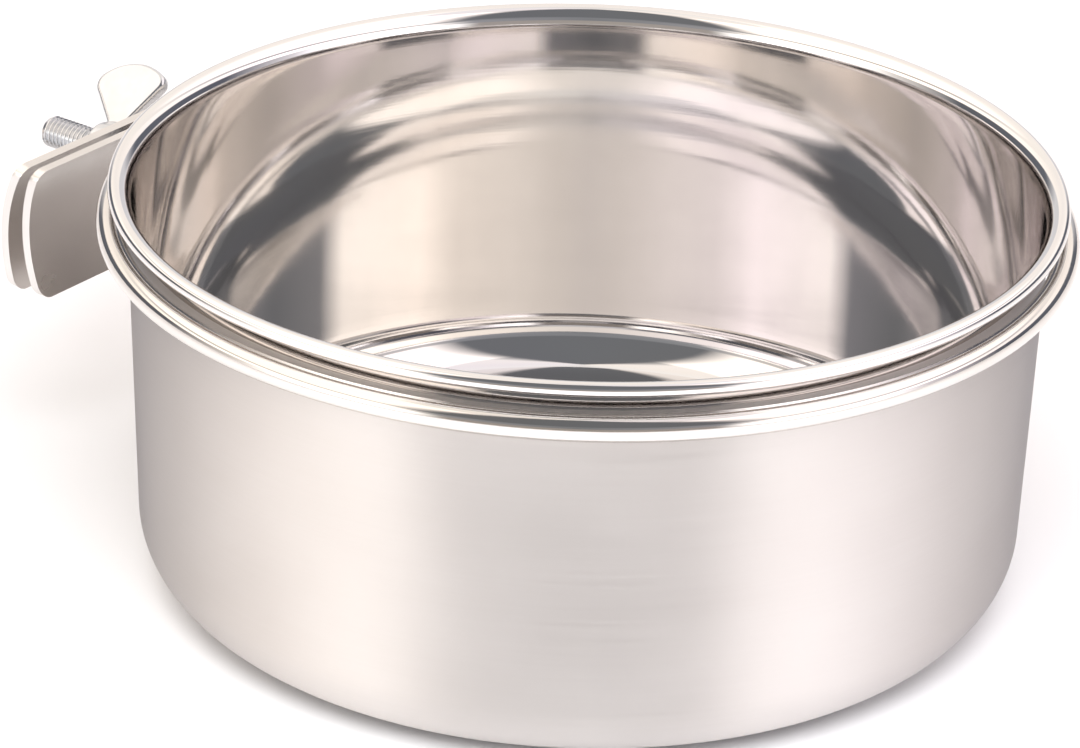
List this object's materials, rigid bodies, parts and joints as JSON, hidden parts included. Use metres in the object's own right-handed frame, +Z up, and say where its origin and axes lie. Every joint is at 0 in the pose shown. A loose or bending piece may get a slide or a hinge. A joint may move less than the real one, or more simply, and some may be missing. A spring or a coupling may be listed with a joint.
{
  "type": "clamp-on feeding bowl",
  "caption": "Deep steel feeding bowl with a rolled rim, hanging in a wire ring whose wing-nut clamp grips cage bars between bowed plates.",
  "frame": {"origin": "middle of the bowl's flat base, on the surface it stands on", "axes": "+Z up out of the bowl, +Y outward along the clamp bolt, +X along the clamp plates"},
  "size_m": [0.14, 0.1739, 0.0605],
  "materials": {
    "bowl_steel": "satin outside, polished inside",
    "ring_steel": "polished",
    "plate_steel": "polished",
    "plated_steel": "bright zinc plated"
  },
  "bodies": {
    "holder": {"holder_ring": "ring_steel", "bracket_plate": "plate_steel", "clamp_bolt": "plated_steel"},
    "bowl": {"bowl": "bowl_steel"},
    "jaw": {"clamp_plate": "plate_steel", "washer": "plated_steel"},
    "nut": {"wing_nut": "plated_steel"}
  },
  "joints": [
    {"name": "bowl_lift", "type": "slide", "parent": "holder", "child": "bowl", "axis": [0, 0, 1], "range_m": [-0.002, 0.07]},
    {"name": "jaw_slide", "type": "slide", "parent": "holder", "child": "jaw", "axis": [0, 1, 0], "range_m": [-0.00121, 0.00961]},
    {"name": "wing_nut_spin", "type": "hinge", "parent": "jaw", "child": "nut", "pos_m": [0, 0.0865, 0.03918], "axis": [0, 1, 0], "range_deg": [-540, 4320]}
  ],
  "couplings": [
    {"joint": "jaw_slide", "follows": "wing_nut_spin", "m_per_rad": 0.00012732}
  ]
}
